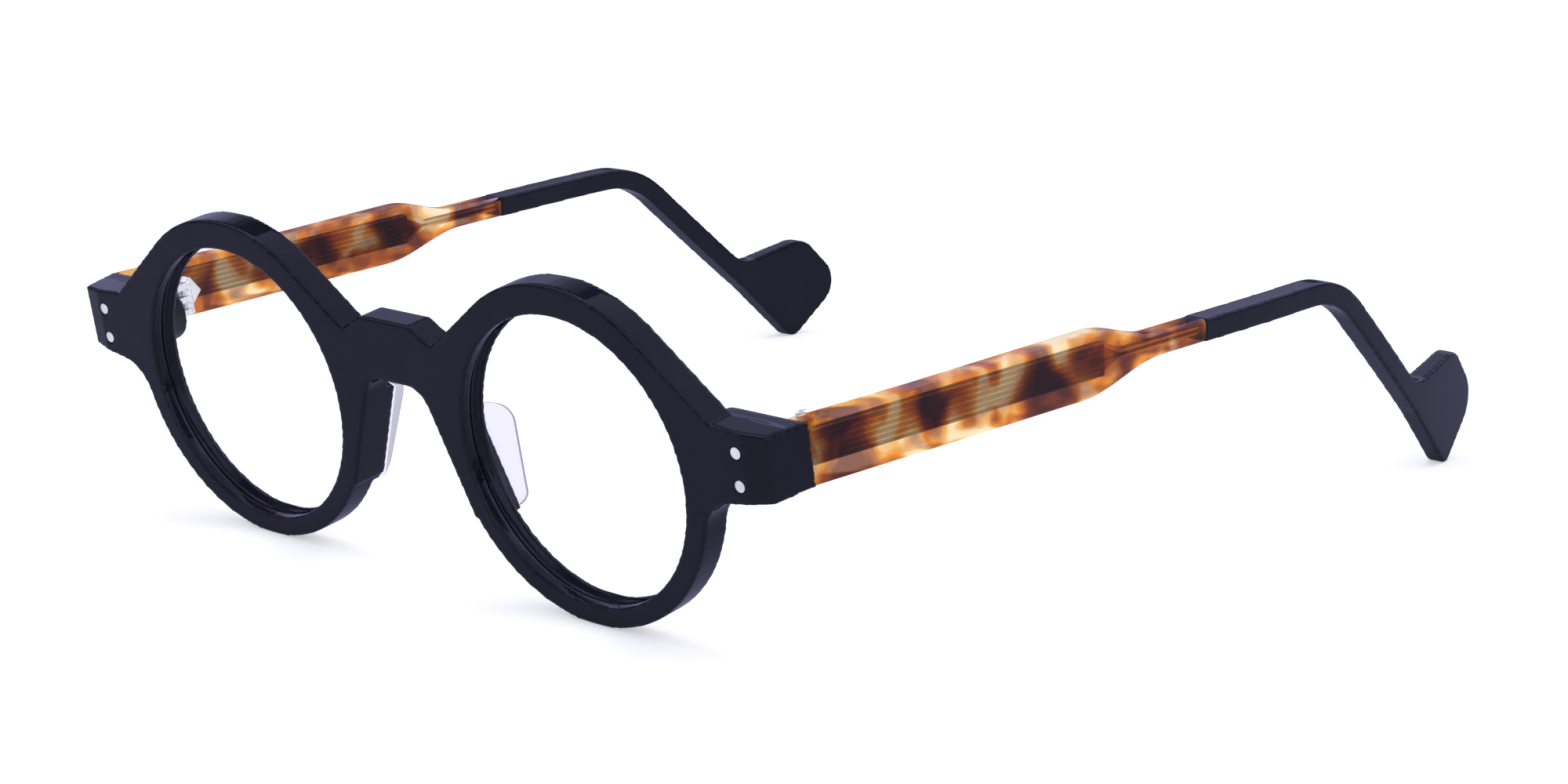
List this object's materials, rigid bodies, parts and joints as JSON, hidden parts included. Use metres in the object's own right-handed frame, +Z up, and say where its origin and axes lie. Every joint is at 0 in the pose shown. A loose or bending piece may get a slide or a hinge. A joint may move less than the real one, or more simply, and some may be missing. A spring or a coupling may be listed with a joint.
{
  "type": "round acetate eyeglasses",
  "caption": "Round full-rim acetate eyeglasses with a keyhole bridge, riveted lugs, barrel hinges and folding tortoiseshell temples with hooked black tips.",
  "frame": {"origin": "middle of the underside of the whole part's box, on the surface the rims and temple tips stand on", "axes": "+Z up, +Y from the front towards the temple tips, +X to the right seen from the front"},
  "size_m": [0.1458, 0.1647, 0.047],
  "materials": {
    "black_acetate": "polished",
    "tortoise_acetate": "polished, translucent, mottled cream, amber and dark brown",
    "pad_acetate": "polished, clear",
    "lens_clear": "clear, anti-reflective",
    "hinge_metal": "satin",
    "screw_metal": "polished",
    "rivet_metal": "polished",
    "core_metal": "drawn, grooved"
  },
  "bodies": {
    "front": {"front_frame": "black_acetate", "lens_left": "lens_clear", "nose_pad_left": "pad_acetate", "front_hinge_left": "hinge_metal", "hinge_screw_left": "screw_metal", "rivet_upper_left": "rivet_metal", "rivet_lower_left": "rivet_metal", "lens_right": "lens_clear", "nose_pad_right": "pad_acetate", "front_hinge_right": "hinge_metal", "hinge_screw_right": "screw_metal", "rivet_upper_right": "rivet_metal", "rivet_lower_right": "rivet_metal"},
    "temple_left": {"temple_left": "tortoise_acetate", "core_wire_left": "core_metal", "temple_tip_left": "black_acetate", "temple_hinge_left": "hinge_metal"},
    "temple_right": {"temple_right": "tortoise_acetate", "core_wire_right": "core_metal", "temple_tip_right": "black_acetate", "temple_hinge_right": "hinge_metal"}
  },
  "joints": [
    {"name": "right_temple_hinge", "type": "hinge", "parent": "front", "child": "temple_right", "pos_m": [0.0618, -0.06543, 0.02889], "axis": [0, -0.1822, 0.9833], "range_deg": [0, 85]},
    {"name": "left_temple_hinge", "type": "hinge", "parent": "front", "child": "temple_left", "pos_m": [-0.0618, -0.06543, 0.02889], "axis": [0, 0.1822, -0.9833], "range_deg": [0, 92]}
  ]
}
